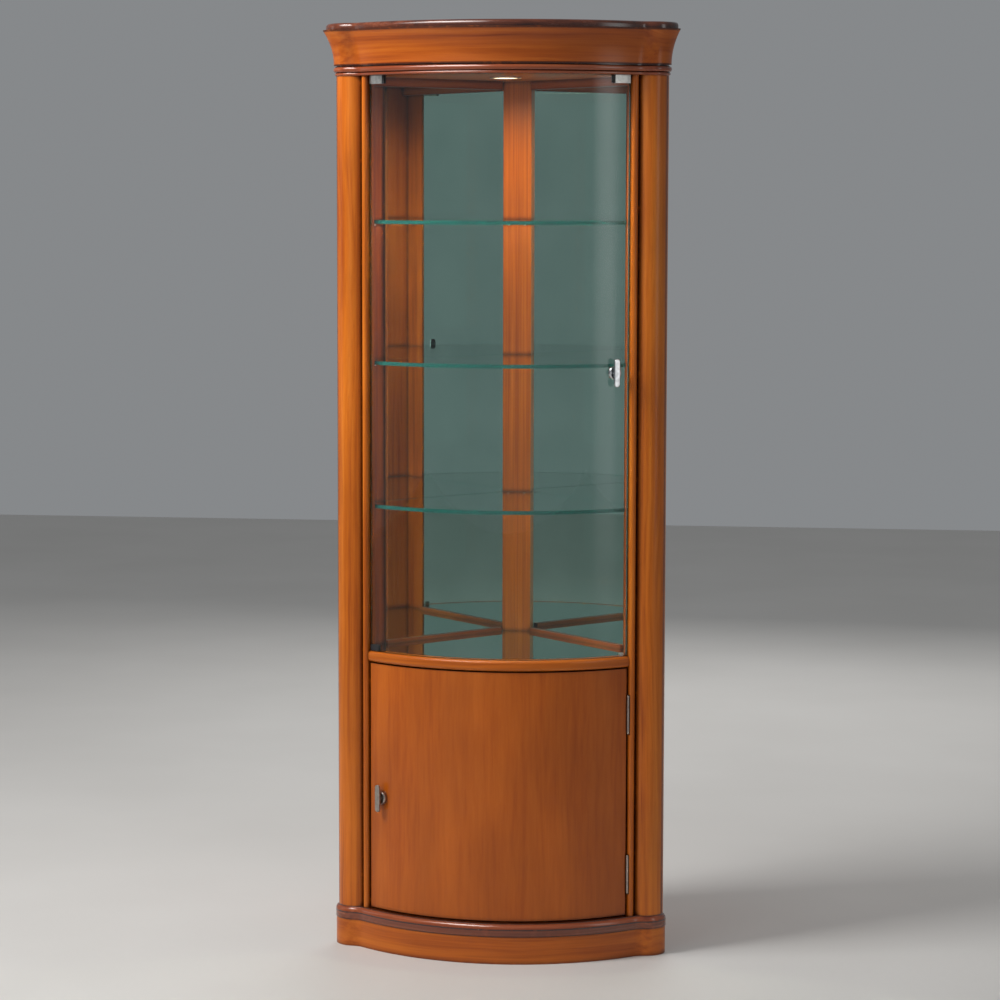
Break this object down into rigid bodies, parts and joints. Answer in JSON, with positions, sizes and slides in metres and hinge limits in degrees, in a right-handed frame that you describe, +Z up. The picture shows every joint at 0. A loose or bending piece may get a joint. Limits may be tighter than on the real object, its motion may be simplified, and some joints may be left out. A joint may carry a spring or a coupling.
{
  "type": "corner curio cabinet",
  "caption": "Bow-fronted corner cabinet: mirrored display space with glass shelves behind a curved glass door, over a cupboard with a curved wooden door.",
  "frame": {"origin": "bottom centre of the bounding box, on the floor", "axes": "+Z up; -Y towards the viewer, out of the room corner; the two walls run at 45 degrees behind; X across the front"},
  "size_m": [0.7636, 0.5214, 2],
  "materials": {
    "cherry_wood": "satin lacquered cherry",
    "dark_wood": "dark glazed gloss lacquer",
    "mirror_glass": "silvered float glass",
    "shelf_glass": "clear glass with green edges",
    "door_glass": "clear bent glass",
    "satin_nickel": "satin nickel",
    "polished_chrome": "polished",
    "brushed_silver": "brushed",
    "black_plastic": "matt black",
    "lamp_lens": "frosted"
  },
  "bodies": {
    "cabinet": {"plinth_board": "dark_wood", "plinth_cap_moulding": "dark_wood", "base_board": "cherry_wood", "left_post": "cherry_wood", "right_post": "cherry_wood", "left_back_panel": "cherry_wood", "right_back_panel": "cherry_wood", "left_plinth_bearer": "cherry_wood", "right_plinth_bearer": "cherry_wood", "left_mirror": "mirror_glass", "right_mirror": "mirror_glass", "left_deck_bead": "cherry_wood", "right_deck_bead": "cherry_wood", "left_ceiling_rail": "cherry_wood", "right_ceiling_rail": "cherry_wood", "left_cornice_rail": "cherry_wood", "right_cornice_rail": "cherry_wood", "rear_corner_post": "cherry_wood", "divider_board": "cherry_wood", "deck_mirror": "mirror_glass", "ledge_rail": "cherry_wood", "ceiling_board": "cherry_wood", "cornice_bead_moulding": "dark_wood", "cornice_cove": "cherry_wood", "cornice_cap": "dark_wood", "lower_shelf": "shelf_glass", "middle_shelf": "shelf_glass", "upper_shelf": "shelf_glass", "cupboard_shelf": "cherry_wood", "shelf_pins": "satin_nickel", "cupboard_shelf_pins": "satin_nickel", "lower_hinge_post_leaf": "satin_nickel", "upper_hinge_post_leaf": "satin_nickel", "hinge_post_screws": "satin_nickel", "hinge_pins": "satin_nickel", "wood_door_catch": "black_plastic", "glass_door_pivot_bushes": "black_plastic", "glass_door_magnet": "brushed_silver", "glass_door_stop": "brushed_silver", "spotlight_ring": "brushed_silver", "spotlight_lens": "lamp_lens", "spotlight_can": "brushed_silver"},
    "lower_door": {"wood_door": "cherry_wood", "wood_door_knob_plate": "satin_nickel", "wood_door_knob_stem": "satin_nickel", "lower_hinge_door_leaf": "satin_nickel", "upper_hinge_door_leaf": "satin_nickel", "hinge_door_screws": "satin_nickel", "wood_door_strike_plate": "satin_nickel"},
    "upper_door": {"glass_door_pane": "door_glass", "glass_door_pivot_clip": "brushed_silver", "glass_door_catch_clip": "brushed_silver", "glass_door_clip_pads": "black_plastic", "glass_door_bottom_shoe": "black_plastic", "glass_door_top_pivot_pin": "brushed_silver", "glass_door_bottom_pivot_pin": "brushed_silver", "glass_door_knob_stem": "polished_chrome", "glass_door_knob_plate": "polished_chrome", "glass_door_knob_rosette": "polished_chrome"}
  },
  "joints": [
    {"name": "wood_door_hinge", "type": "hinge", "parent": "cabinet", "child": "lower_door", "pos_m": [0.28187, -0.12721, 0.35], "axis": [0, 0, 1], "range_deg": [0, 105]},
    {"name": "glass_door_pivot", "type": "hinge", "parent": "cabinet", "child": "upper_door", "pos_m": [-0.26499, -0.12835, 1.27], "axis": [0, 0, -1], "range_deg": [0, 95]}
  ]
}
